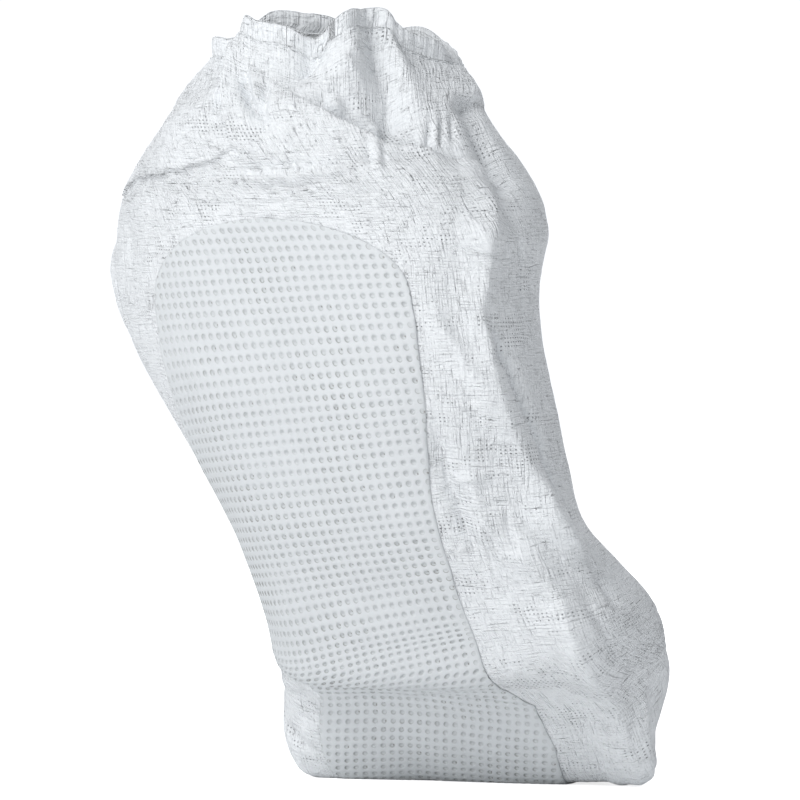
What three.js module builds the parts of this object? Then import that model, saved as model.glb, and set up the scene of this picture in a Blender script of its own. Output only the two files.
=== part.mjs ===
// Anti-slip overshoe, kept in the form it has on a raised foot: heel up, toe end pressed flat, ankle opening
// on top. Millimetres, +Z up. The sole faces -Y, the toe end points towards +Y along the floor, and the
// origin is the middle of the ankle opening.
import * as THREE from "three";

// Driving dimensions.
const fabricWall = 1.2; // thickness of the upper's fabric
const soleWall = 1.4; // thickness of the embossed grip sheet
const hemWall = 2.6; // fabric turned over the elastic
const hemHeight = 7;
const gap = 0.35; // clear distance between neighbouring pieces
const opening = { x: -58, y: 56, z: 292 }; // middle of the ankle opening above the floor: the part's origin
const gathers = { count: 9, depth: 2.6, reach: 46 }; // pleats that the elastic makes, fading out downwards
const tipReach = 3; // from the last section to the closed tip of the toe
const ringsPerRow = 2;
const soleColumns = 14;
const upperColumns = 34;

const table = (columns, rows) =>
  rows.map((row) => Object.fromEntries(columns.map((name, i) => [name, row[i]])));

// One row for each section from the opening to the tip of the toe. A section is a closed curve in a plane
// that is level at the ankle and turns up by pitch degrees towards the toe; roll degrees lower its front's
// left end.
//   x, y, z      right front corner, where the sole meets the side
//   flat         width of the flat front, leftwards from that corner
//   out, back    from the end of the flat front to the furthest left point: outwards, and back in depth
//   corner       share of out that the front reaches before it turns back: squarer when larger
//   ridge, fall  from the corner to the long ridge of the right side: outwards, and back
//   side         from the corner outwards to the furthest right point
//   depth        from front to back
//   start, end   where the grip sheet starts and ends along the section, leftwards from the corner
const sections = table(
  [
    ...["at", "x", "y", "z", "pitch", "roll", "flat", "out", "back", "corner"],
    ...["ridge", "fall", "side", "depth", "start", "end"],
  ],
  [
    ["rim", -42, 18, 289, 0, 0, 35, 23, 36, 0.52, 14, 17, 20, 78, -17, 52],
    ["gathers", -36, 8, 272, 0, 0, 48, 33, 44, 0.52, 20, 20, 24, 93, -14, 62],
    ["cuffBase", -31, 1, 262, 0, 0, 58, 32, 49, 0.52, 22, 22, 28, 103, -4, 66],
    ["slouch", -20, -2, 245, 0, 0, 67, 47, 53, 0.52, 24, 24, 34, 105, 12, 70],
    ["ankle", -6, -1, 229, 0, 0, 69, 76, 54, 0.52, 23, 23, 31, 104, 33, 72],
    ["soleTop", -2, 0, 221, 0, 0, 71, 82, 54, 0.52, 22, 23, 29, 103, 40, 72],
    ["arch", 1, 0, 214, 0, 0, 72, 86, 55, 0.51, 21, 24, 27, 102, 20, 90],
    ["archSide", 3, 0, 207, 0, 0, 73, 89, 55, 0.5, 20, 24, 26, 101, 9, 108],
    ["heel", 4.5, 0, 194, 0, 0, 74, 90, 55, 0.5, 19, 25, 22, 100, 0, 121],
    ["heelEnd", 7, 1, 172, 0, 0, 72, 86, 52, 0.51, 20, 26, 20, 99, 0, 124],
    ["waistTop", 8, 4, 149, 0, 0, 68, 77, 50, 0.52, 23, 29, 24, 97, 0, 126],
    ["waist", 6.5, 10, 126, 0, 0, 62, 67, 47, 0.53, 26, 33, 28, 94, 0, 127],
    ["waistEnd", 6.5, 18, 102, 1, 0, 58, 57, 44, 0.54, 33, 38, 30, 90, 0, 125],
    ["instep", 9, 28, 79, 6.6, 1, 56, 56, 42, 0.55, 31, 38, 35, 86.5, 0, 121],
    ["ball", 13, 37.5, 58, 15.7, 3, 56, 58, 42, 0.56, 29, 37, 41, 85, 0, 117],
    ["crease", 17, 47, 41, 24, 5, 57, 62, 39, 0.58, 28, 34, 40, 83, 0, 113],
    ["ledge", 18, 63, 35.5, 29, 1.5, 58, 63, 27, 0.62, 27, 28, 38, 72, 0, 108],
    ["toeFront", 19, 78, 29, 36.3, -3, 60, 65, 16, 0.7, 26, 20, 36, 63, 0, 103],
    ["toeMiddle", 19.5, 91, 10, 51.7, 0, 62, 68, 20, 0.86, 27, 11, 35, 67, 0, 106],
    ["floor", 19, 102, 0, 59, 0, 62, 66, 19, 0.92, 29, 6, 35, 68, 0, 104],
    ["toeFloor", 16, 120, 0, 68.7, 0, 60, 64, 17, 0.9, 27, 6, 33, 58, 0, 98],
    ["toeEnd", 8, 137, 0, 77, 0, 56, 54, 16, 0.8, 22, 7, 28, 50, 2, 84],
    ["toeTip", -8, 151, 2, 86, 0, 40, 42, 14, 0.7, 18, 9, 24, 37, 4, 48],
    ["nose", -22, 161, 8, 90, 0, 22, 22, 9, 0.6, 12, 7, 15, 20, 2, 26],
  ],
);

// Height of the rim above or below its mean, one row for each high or low place. turn is the share of the
// way round, leftwards from the right front corner.
const rimWave = table(
  ["turn", "lift"],
  [
    [0, 0],
    [0.08, -3],
    [0.16, 1],
    [0.28, -1],
    [0.42, 4],
    [0.56, 6],
    [0.7, -5],
    [0.86, -6],
  ],
);

// Main folds and dents, one row each: a straight crest from one point to another, how far it stands out (or
// in, when negative), and how wide it is.
const folds = table(
  ["at", "x1", "y1", "z1", "x2", "y2", "z2", "height", "width"],
  [
    ["overhangLeft", -150, 40, 240, -70, -4, 256, 4, 9],
    ["tuckLeft", -146, 36, 226, -72, -4, 240, -3, 7],
    ["instepFold", -12, 4, 216, 40, 46, 146, 2.5, 11],
    ["sideFold", 34, 56, 120, 46, 96, 70, 3, 10],
  ],
);

// Distance of each section from the opening, measured along the right front corner.
const corners = sections.map((row) => new THREE.Vector3(row.x, row.y, row.z));
const reach = [0];
corners.slice(1).forEach((corner, i) => reach.push(reach[i] + corner.distanceTo(corners[i])));

const measures = Object.keys(sections[0]).slice(1);
const sectionValues = sections.flatMap((row) => measures.map((name) => row[name]));
const sectionSpline = new THREE.CubicInterpolant(reach, sectionValues, measures.length);

// The section at any distance from the opening.
function sectionAt(distance) {
  const values = sectionSpline.evaluate(distance);
  return Object.fromEntries(measures.map((name, i) => [name, values[i]]));
}

// The closed curve of a section, leftwards from its right front corner, in the part's space.
function sectionCurve(section) {
  const left = -section.flat - section.out;
  const width = section.side - left;
  const pitch = THREE.MathUtils.degToRad(section.pitch);
  const roll = THREE.MathUtils.degToRad(section.roll);
  const outline = [
    [0, 0],
    [-section.flat, 0],
    [-section.flat - section.corner * section.out, (0.42 - 0.4 * section.corner) * section.back],
    [left, section.back],
    [left + 0.14 * width, 0.88 * section.depth],
    [left + 0.5 * width, section.depth],
    [section.side - 0.12 * width, 0.92 * section.depth],
    [section.side, 0.5 * (section.fall + section.depth)],
    [section.ridge, section.fall],
  ].map(
    ([across, deep]) =>
      new THREE.Vector3(
        section.x + across * Math.cos(roll),
        section.y + deep * Math.cos(pitch),
        section.z + deep * Math.sin(pitch) + across * Math.sin(roll) * (1 - deep / section.depth),
      ),
  );
  return new THREE.CatmullRomCurve3(outline, true, "centripetal");
}

// Height of the rim's wave at a share of the way round; the rows are repeated a turn before and after.
const rimTurns = [-1, 0, 1].flatMap((turn) => rimWave.map((row) => row.turn + turn));
const rimLifts = [-1, 0, 1].flatMap(() => rimWave.map((row) => row.lift));
const rimSpline = new THREE.CubicInterpolant(rimTurns, rimLifts, 1);

const columnCount = soleColumns + upperColumns;

// One ring of points round a section: the columns of the sole first, then those of the upper.
function ringAt(distance) {
  const section = sectionAt(distance);
  const curve = sectionCurve(section);
  const length = curve.getLength();
  const ring = [];
  for (let column = 0; column < columnCount; column++) {
    const along =
      column <= soleColumns
        ? THREE.MathUtils.mapLinear(column, 0, soleColumns, section.start, section.end)
        : THREE.MathUtils.mapLinear(column, soleColumns, columnCount, section.end, section.start + length);
    const turn = THREE.MathUtils.euclideanModulo(along / length, 1);
    const point = curve.getPointAt(turn);
    const fade = THREE.MathUtils.clamp(1 - (sections[0].z - section.z) / gathers.reach, 0, 1);
    const pleat = gathers.depth * fade * Math.cos(2 * Math.PI * gathers.count * turn);
    const outwards = new THREE.Vector3(point.x - opening.x, point.y - opening.y, 0).normalize();
    point.addScaledVector(outwards, pleat);
    point.z += rimSpline.evaluate(turn)[0] * fade;
    ring.push(point);
  }
  return ring;
}

const rings = reach.slice(0, -1).flatMap((start, row) => {
  const shares = Array.from({ length: ringsPerRow }, (_, i) => i / ringsPerRow);
  return shares.map((share) => ringAt(THREE.MathUtils.lerp(start, reach[row + 1], share)));
});
rings.push(ringAt(reach.at(-1)));
const ringOf = (name) => sections.findIndex((row) => row.at === name) * ringsPerRow;

// The tip: the last ring drawn together into one point, a little beyond it.
const tip = rings.at(-1).reduce((sum, point) => sum.add(point), new THREE.Vector3());
tip.divideScalar(columnCount);
tip.y += tipReach;
rings.push(rings.at(-1).map(() => tip.clone()));

const wrap = (column) => THREE.MathUtils.euclideanModulo(column, columnCount);

// Outward normals of the rings, from each point's neighbours round the ring and along the foot.
function normalsOf(grid) {
  return grid.map((ring, i) =>
    ring.map((point, j) => {
      const above = grid[Math.max(i - 1, 0)][j];
      const below = grid[Math.min(i + 1, grid.length - 1)][j];
      const round = new THREE.Vector3().subVectors(ring[wrap(j + 1)], ring[wrap(j - 1)]);
      const along = new THREE.Vector3().subVectors(below, above);
      const normal = new THREE.Vector3().crossVectors(round, along);
      return normal.lengthSq() > 0 ? normal.normalize() : new THREE.Vector3(0, 1, 0);
    }),
  );
}

// Folds stand out along the normal, highest on their crest, and fade out past its ends.
function raiseFolds(grid) {
  const normals = normalsOf(grid);
  grid.forEach((ring, i) =>
    ring.forEach((point, j) => {
      let raise = 0;
      for (const fold of folds) {
        const crest = new THREE.Line3(
          new THREE.Vector3(fold.x1, fold.y1, fold.z1),
          new THREE.Vector3(fold.x2, fold.y2, fold.z2),
        );
        const distance = crest.closestPointToPoint(point, true, new THREE.Vector3()).distanceTo(point);
        raise += fold.height * Math.exp(-((distance / fold.width) ** 2));
      }
      point.addScaledVector(normals[i][j], raise);
    }),
  );
}

raiseFolds(rings);
const normals = normalsOf(rings);

// A closed solid of the chosen cells of a grid: its outer face, its inner face one wall further in, and an
// edge wall wherever a cell has no neighbour.
function sheetSolid(outer, inner, hasCell) {
  const positions = [];
  const triangle = (a, b, c) => {
    if (a.equals(b) || b.equals(c) || c.equals(a)) return;
    positions.push(...a.toArray(), ...b.toArray(), ...c.toArray());
  };
  const quad = (a, b, c, d) => {
    triangle(a, b, c);
    triangle(a, c, d);
  };
  for (let i = 0; i < outer.length - 1; i++) {
    for (let j = 0; j < columnCount; j++) {
      if (!hasCell(i, j)) continue;
      const next = wrap(j + 1);
      quad(outer[i][j], outer[i][next], outer[i + 1][next], outer[i + 1][j]);
      quad(inner[i][j], inner[i + 1][j], inner[i + 1][next], inner[i][next]);
      if (!hasCell(i - 1, j)) quad(outer[i][next], outer[i][j], inner[i][j], inner[i][next]);
      if (!hasCell(i + 1, j)) quad(outer[i + 1][j], outer[i + 1][next], inner[i + 1][next], inner[i + 1][j]);
      if (!hasCell(i, wrap(j - 1))) quad(outer[i][j], outer[i + 1][j], inner[i + 1][j], inner[i][j]);
      if (!hasCell(i, next)) quad(outer[i + 1][next], outer[i][next], inner[i][next], inner[i + 1][next]);
    }
  }
  const geometry = new THREE.BufferGeometry();
  geometry.setAttribute("position", new THREE.Float32BufferAttribute(positions, 3));
  geometry.computeVertexNormals();
  return geometry;
}

const shifted = (grid, directions, distance) =>
  grid.map((ring, i) => ring.map((point, j) => point.clone().addScaledVector(directions[i][j], distance)));

// Hollow fabric upper, from the opening down round the toe, open where the grip sheet is let in.
const soleFirst = ringOf("soleTop");
const soleLast = ringOf("toeTip");
const inSole = (i, j) => i >= soleFirst && i < soleLast && j < soleColumns;

function upperGeometry() {
  const inUpper = (i, j) => i >= 0 && i < rings.length - 1 && !inSole(i, j);
  return sheetSolid(rings, shifted(rings, normals, -fabricWall), inUpper);
}

// Grip sheet of the sole, with its border drawn in so that it stays clear of the upper.
function soleGeometry() {
  const outer = rings.map((ring) => ring.map((point) => point.clone()));
  const drawIn = (i, j, before, after, inside) => {
    const edge = new THREE.Vector3().subVectors(after, before);
    const inwards = new THREE.Vector3().crossVectors(normals[i][j], edge).normalize();
    const towards = new THREE.Vector3().subVectors(inside, rings[i][j]);
    outer[i][j].addScaledVector(inwards, gap * Math.sign(inwards.dot(towards)));
  };
  for (let i = soleFirst; i <= soleLast; i++) {
    const above = rings[Math.max(i - 1, soleFirst)];
    const below = rings[Math.min(i + 1, soleLast)];
    drawIn(i, 0, above[0], below[0], rings[i][1]);
    drawIn(i, soleColumns, above[soleColumns], below[soleColumns], rings[i][soleColumns - 1]);
  }
  for (let j = 0; j <= soleColumns; j++) {
    const right = Math.max(j - 1, 0);
    const left = Math.min(j + 1, soleColumns);
    drawIn(soleFirst, j, rings[soleFirst][right], rings[soleFirst][left], rings[soleFirst + 1][j]);
    drawIn(soleLast, j, rings[soleLast][right], rings[soleLast][left], rings[soleLast - 1][j]);
  }
  return sheetSolid(outer, shifted(outer, normals, -soleWall), inSole);
}

// Hem turned over the elastic, standing on the edge of the upper.
function hemGeometry() {
  const level = normals[0].map((normal) => new THREE.Vector3(normal.x, normal.y, 0).normalize());
  const heights = [gap + hemHeight, gap + 0.5 * hemHeight, gap];
  const middle = heights.map((height) =>
    rings[0].map((point, j) =>
      new THREE.Vector3(point.x, point.y, point.z + height).addScaledVector(level[j], -0.5 * fabricWall),
    ),
  );
  const directions = heights.map(() => level);
  const outer = shifted(middle, directions, 0.5 * hemWall);
  const inner = shifted(middle, directions, -0.5 * hemWall);
  return sheetSolid(outer, inner, (i) => i >= 0 && i < heights.length - 1);
}

function piece(name, geometry, material) {
  const mesh = new THREE.Mesh(geometry, material);
  mesh.name = name;
  return mesh;
}

const fabric = new THREE.MeshStandardMaterial({ color: 0xe6eaed, roughness: 0.72, metalness: 0 });
const hemFabric = new THREE.MeshStandardMaterial({ color: 0xe9edf0, roughness: 0.75, metalness: 0 });
const gripSheet = new THREE.MeshStandardMaterial({ color: 0xdfe4e8, roughness: 0.62, metalness: 0 });

const shoeCover = new THREE.Group();
shoeCover.add(piece("upper", upperGeometry(), fabric));
shoeCover.add(piece("sole_panel", soleGeometry(), gripSheet));
shoeCover.add(piece("hem_casing", hemGeometry(), hemFabric));
shoeCover.position.set(-opening.x, -opening.y, -opening.z);

export default shoeCover;
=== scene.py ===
import math

import bpy
import numpy as np
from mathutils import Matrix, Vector
from mathutils.geometry import delaunay_2d_cdt


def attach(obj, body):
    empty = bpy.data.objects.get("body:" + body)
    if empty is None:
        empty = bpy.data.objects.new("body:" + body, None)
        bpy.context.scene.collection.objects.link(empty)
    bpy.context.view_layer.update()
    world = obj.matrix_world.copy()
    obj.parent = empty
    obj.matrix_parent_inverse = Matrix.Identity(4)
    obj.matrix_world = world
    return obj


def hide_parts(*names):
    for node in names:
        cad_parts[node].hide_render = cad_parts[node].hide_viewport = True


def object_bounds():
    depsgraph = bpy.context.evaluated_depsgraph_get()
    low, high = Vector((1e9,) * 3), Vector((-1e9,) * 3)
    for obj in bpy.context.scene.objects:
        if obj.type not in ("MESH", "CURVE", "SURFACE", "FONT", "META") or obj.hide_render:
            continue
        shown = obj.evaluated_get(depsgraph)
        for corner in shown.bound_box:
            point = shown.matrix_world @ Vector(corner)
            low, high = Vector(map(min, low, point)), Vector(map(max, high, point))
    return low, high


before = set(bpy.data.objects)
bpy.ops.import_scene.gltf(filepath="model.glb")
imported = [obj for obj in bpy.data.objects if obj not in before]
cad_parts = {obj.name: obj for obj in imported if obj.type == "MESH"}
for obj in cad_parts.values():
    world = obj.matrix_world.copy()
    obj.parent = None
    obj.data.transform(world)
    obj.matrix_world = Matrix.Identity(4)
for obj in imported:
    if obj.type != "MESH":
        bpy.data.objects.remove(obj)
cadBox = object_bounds()
bpy.ops.object.select_all(action="DESELECT")
print("frame loaded")

# The shoe cover is worked in millimetres above the floor, then moved so that the middle of the ankle
# opening is the origin.
millimetre = 0.001
opening = np.array([-58.0, 56.0, 292.0])


def toFrame(points):
    return (np.asarray(points) - opening) * millimetre


def smoothStep(low, high, value):
    t = np.clip((value - low) / (high - low), 0, 1)
    return t * t * (3 - 2 * t)


def hermite(t, start, startSlope, end, endSlope):
    return (
        (2 * t**3 - 3 * t**2 + 1) * start + (t**3 - 2 * t**2 + t) * startSlope
        + (3 * t**2 - 2 * t**3) * end + (t**3 - t**2) * endSlope
    )


def spline(knots, values, at):  # smooth curve through rows of values, as the CAD part uses
    knots, values = np.asarray(knots, float), np.asarray(values, float)
    at = np.clip(at, knots[0], knots[-1])
    gaps = np.diff(knots)
    wide = values.ndim > 1
    slopes = np.diff(values, axis=0) / (gaps[:, None] if wide else gaps)
    tangents = np.concatenate([slopes[:1], (slopes[1:] + slopes[:-1]) / 2, slopes[-1:]])
    i = np.clip(np.searchsorted(knots, at, side="right") - 1, 0, len(knots) - 2)
    t, gap = (at - knots[i]) / gaps[i], gaps[i]
    if wide:
        t, gap = t[..., None], gap[..., None]
    return hermite(t, values[i], gap * tangents[i], values[i + 1], gap * tangents[i + 1])


noiseCells = 64  # softNoise repeats after this many hills


def softNoise(x, y, seed, size):  # smooth random hills about size mm apart, between -1 and 1
    heights = np.random.default_rng(seed).uniform(-1, 1, (noiseCells, noiseCells))
    x, y = np.asarray(x) / size, np.asarray(y) / size
    i, j = np.floor(x).astype(int), np.floor(y).astype(int)
    u, v = x - i, y - j
    u, v = u * u * (3 - 2 * u), v * v * (3 - 2 * v)

    def corner(m, n):
        return heights[(i + m) % noiseCells, (j + n) % noiseCells]

    low = corner(0, 0) * (1 - u) + corner(1, 0) * u
    high = corner(0, 1) * (1 - u) + corner(1, 1) * u
    return low * (1 - v) + high * v


# Form: closed sections from the ankle opening to the tip of the toe.
# x, y, z: right front corner. pitch, roll: turn of the section's plane. flat, out, back, corner: the front
# and how it turns back on the left. ridge, fall, side: the long ridge of the right side and the furthest
# right point. depth: front to back.
sectionColumns = "x y z pitch roll flat out back corner ridge fall side depth".split()
sectionRows = {
    "rim": (-42, 18, 289, 0, 0, 35, 23, 36, 0.52, 14, 17, 22, 78),
    "gathers": (-36, 8, 272, 0, 0, 48, 37, 44, 0.52, 20, 20, 29, 93),
    "cuffBase": (-31, 1, 262, 0, 0, 58, 37, 49, 0.52, 22, 22, 29, 103),
    "slouch": (-20, -2, 245, 0, 0, 67, 54, 53, 0.52, 24, 24, 35, 105),
    "ankle": (-6, -1, 229, 0, 0, 69, 79, 54, 0.52, 26, 20, 33, 104),
    "soleTop": (-2, 0, 221, 0, 0, 71, 84, 54, 0.52, 26.2, 19.5, 31.4, 103),
    "arch": (1, 0, 214, 0, 0, 72, 88, 55, 0.51, 26, 17, 30, 102),
    "archSide": (3, 0, 207, 0, 0, 73, 91, 55, 0.5, 23.2, 18.6, 26.4, 101),
    "heel": (4.5, 0, 194, 0, 0, 74, 90.5, 55, 0.5, 22.8, 19.4, 23.2, 100),
    "heelEnd": (7, 1, 172, 0, 0, 72, 86, 52, 0.51, 24, 20.2, 21.8, 99),
    "waistTop": (8, 4, 149, 0, 0, 68, 76, 50, 0.52, 28, 21.6, 24.2, 97),
    "waist": (6.5, 10, 126, 0, 0, 62, 66.5, 47, 0.53, 31.6, 24, 28, 94),
    "waistEnd": (6.5, 18, 102, 1, 0, 58, 57.5, 44, 0.54, 40.6, 24.4, 32.4, 90),
    "instep": (9, 28, 79, 6.6, 1, 56, 56.5, 42, 0.55, 41.2, 19.5, 42, 86.5),
    "ball": (13, 37.5, 58, 15.7, 3, 56, 58.5, 42, 0.56, 43, 12, 47.5, 85),
    "crease": (17, 47, 41, 24, 3, 57, 62.5, 39, 0.58, 39, 12, 46.5, 83),
    "ledge": (20.5, 58.5, 35.6, 29, -2, 59, 62, 27, 0.62, 34, 12, 44.5, 72),
    "toeFront": (23, 72.5, 25.5, 38, -2, 62, 62, 17, 0.7, 30, 9, 40.5, 64),
    "toeMiddle": (21.5, 89, 8.5, 51.7, 0, 64, 64, 20, 0.86, 32, 8, 37.5, 67),
    "floor": (19, 102, -1.2, 59, 0, 62, 62, 19, 0.92, 31, 6, 30, 68),
    "toeFloor": (16, 120, -1.4, 68.7, 0, 60, 59, 17, 0.9, 29, 6, 25, 58),
    "toeEnd": (8, 137, -1.4, 77, 0, 56, 54, 16, 0.8, 22, 7, 25, 50),
    "toeTip": (-8, 151, 0, 86, 0, 40, 42, 14, 0.7, 18, 9, 24, 37),
    "nose": (-22, 161, 6, 90, 0, 22, 22, 9, 0.6, 12, 7, 15, 20),
}
sections = np.array(list(sectionRows.values()), float)
cornerGaps = np.linalg.norm(np.diff(sections[:, :3], axis=0), axis=1)
reach = np.concatenate([[0], np.cumsum(cornerGaps)])  # distance from the rim along the right front corner
# Where a section turns at its back, as shares of its width and depth. A sharper corner keeps to the front.
sectionShape = {
    "leftIn": 0.14,
    "leftDeep": 0.88,
    "rightIn": 0.12,
    "rightDeep": 0.92,
    "cornerDeep": 0.42,
    "cornerSharp": 0.4,
}


class Form:
    # The bag's surface: along is mm leftwards from the right front corner, down is mm from the rim.
    def __init__(self, downSteps=850, turnSteps=1440):
        self.downs = np.linspace(0, reach[-1], downSteps)
        values = dict(zip(sectionColumns, spline(reach, sections, self.downs).T))
        curves = self.sectionCurves(values)
        steps = np.linalg.norm(np.diff(curves, axis=1), axis=2)
        distance = np.concatenate([np.zeros((downSteps, 1)), np.cumsum(steps, axis=1)], axis=1)
        self.lengths = distance[:, -1]
        shares = np.linspace(0, 1, turnSteps + 1)
        self.points = np.array([
            [np.interp(shares * row[-1], row, curve[:, k]) for k in range(3)]
            for row, curve in zip(distance, curves)
        ]).transpose(0, 2, 1)
        ring = self.points[:, :-1]
        around = np.roll(ring, -1, axis=1) - np.roll(ring, 1, axis=1)
        normals = np.cross(around, np.gradient(ring, axis=0))
        normals /= np.linalg.norm(normals, axis=2, keepdims=True)
        self.normals = np.concatenate([normals, normals[:, :1]], axis=1)

    def sectionCurves(self, v, dense=720):
        left = -v["flat"] - v["out"]
        width, depth = v["side"] - left, v["depth"]
        zero = np.zeros_like(left)
        shape = sectionShape
        cornerDeep = shape["cornerDeep"] - shape["cornerSharp"] * v["corner"]
        across, deep = np.array([
            (zero, zero),
            (-v["flat"], zero),
            (-v["flat"] - v["corner"] * v["out"], cornerDeep * v["back"]),
            (left, v["back"]),
            (left + shape["leftIn"] * width, shape["leftDeep"] * depth),
            (left + width / 2, depth),
            (v["side"] - shape["rightIn"] * width, shape["rightDeep"] * depth),
            (v["side"], (v["fall"] + depth) / 2),
            (v["ridge"], v["fall"]),
        ]).transpose(1, 2, 0)
        pitch, roll = np.radians(v["pitch"])[:, None], np.radians(v["roll"])[:, None]
        lower = across * np.sin(roll) * (1 - deep / depth[:, None])
        corners = np.stack([
            v["x"][:, None] + across * np.cos(roll),
            v["y"][:, None] + deep * np.cos(pitch),
            v["z"][:, None] + deep * np.sin(pitch) + lower,
        ], -1)
        count = corners.shape[1]
        u = np.arange(dense + 1) / dense * count
        k = np.minimum(u.astype(int), count - 1)
        w = (u - k)[None, :, None]
        p = [corners[:, (k + offset) % count] for offset in (-1, 0, 1, 2)]
        d = [((p[i + 1] - p[i]) ** 2).sum(-1, keepdims=True) ** 0.25 for i in range(3)]
        start = ((p[1] - p[0]) / d[0] - (p[2] - p[0]) / (d[0] + d[1]) + (p[2] - p[1]) / d[1]) * d[1]
        end = ((p[2] - p[1]) / d[1] - (p[3] - p[1]) / (d[1] + d[2]) + (p[3] - p[2]) / d[2]) * d[1]
        return hermite(w, p[1], start, p[2], end)

    def around(self, down):  # length round the section
        return np.interp(down, self.downs, self.lengths)

    def sample(self, table, along, down):
        lastRow, lastColumn = table.shape[0] - 1, table.shape[1] - 1
        row = np.minimum(np.clip(down / self.downs[-1], 0, 1) * lastRow, lastRow - 0.001)
        column = np.minimum(np.mod(along / self.around(down), 1) * lastColumn, lastColumn - 0.001)
        i, j = row.astype(int), column.astype(int)
        u, v = (row - i)[..., None], (column - j)[..., None]
        near = table[i, j] * (1 - v) + table[i, j + 1] * v
        far = table[i + 1, j] * (1 - v) + table[i + 1, j + 1] * v
        return near * (1 - u) + far * u

    def point(self, along, down):
        return self.sample(self.points, along, down)

    def normal(self, along, down):
        return self.sample(self.normals, along, down)


form = Form()

# Outline of the grip sheet, in the same two distances.
outline = {
    "archTop": 84.0,  # highest point of the rounded heel end
    "archMiddle": 56.0,
    "archRight": 56.0,  # half width of the rounded end on each side
    "archLeft": 70.0,
    "archRightRise": 29.0,
    "archLeftRise": 33.0,
    "archTilt": 0.02,
    "end": 404.0,  # under the toe
    "endMiddle": 30.0,
    "endBow": 0.012,
    "wave": 0.35,  # the cut edge isn't perfectly straight
    "flattest": 0.02,  # keeps the slope of the rounded end finite at its sides
}
edgeDown = (113, 134, 158, 182, 207, 232, 259, 279, 284, 293, 299, 305, 314, 323, 338, 350, 365, 384, 404)
edgeRight = (0, -0.5, -1, -0.5, 0, 0, 0.5, 2.5, 4, 1.5, -1, 0, 0, -1, 0, 1, 1, 3, 8)
edgeLeft = (126, 129, 130, 129, 127, 123, 118, 113, 111, 104, 100, 99, 103, 105, 105, 105, 98, 84, 46)


def insideSole(along, down):  # mm inside the outline, negative outside
    wave = outline["wave"]
    right = np.interp(down, edgeDown, edgeRight) + wave * softNoise(down, 0 * down, seed=11, size=9)
    left = np.interp(down, edgeDown, edgeLeft) + wave * softNoise(down, 9 + 0 * down, seed=12, size=11)
    offset = along - outline["archMiddle"]
    reachSide = np.where(offset < 0, outline["archRight"], outline["archLeft"])
    rise = np.where(offset < 0, outline["archRightRise"], outline["archLeftRise"])
    u = np.clip(np.abs(offset) / reachSide, 0, 1)
    top = outline["archTop"] + rise * (1 - np.sqrt(1 - u * u)) + outline["archTilt"] * np.abs(offset)
    top = top + wave * softNoise(along, 5 + 0 * along, seed=13, size=12)
    steep = np.sqrt(1 + (rise / reachSide * u / np.sqrt(np.maximum(1 - u * u, outline["flattest"]))) ** 2)
    end = outline["end"] - outline["endBow"] * (along - outline["endMiddle"]) ** 2
    return np.minimum.reduce([along - right, left - along, (down - top) / steep, end - down])


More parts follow.
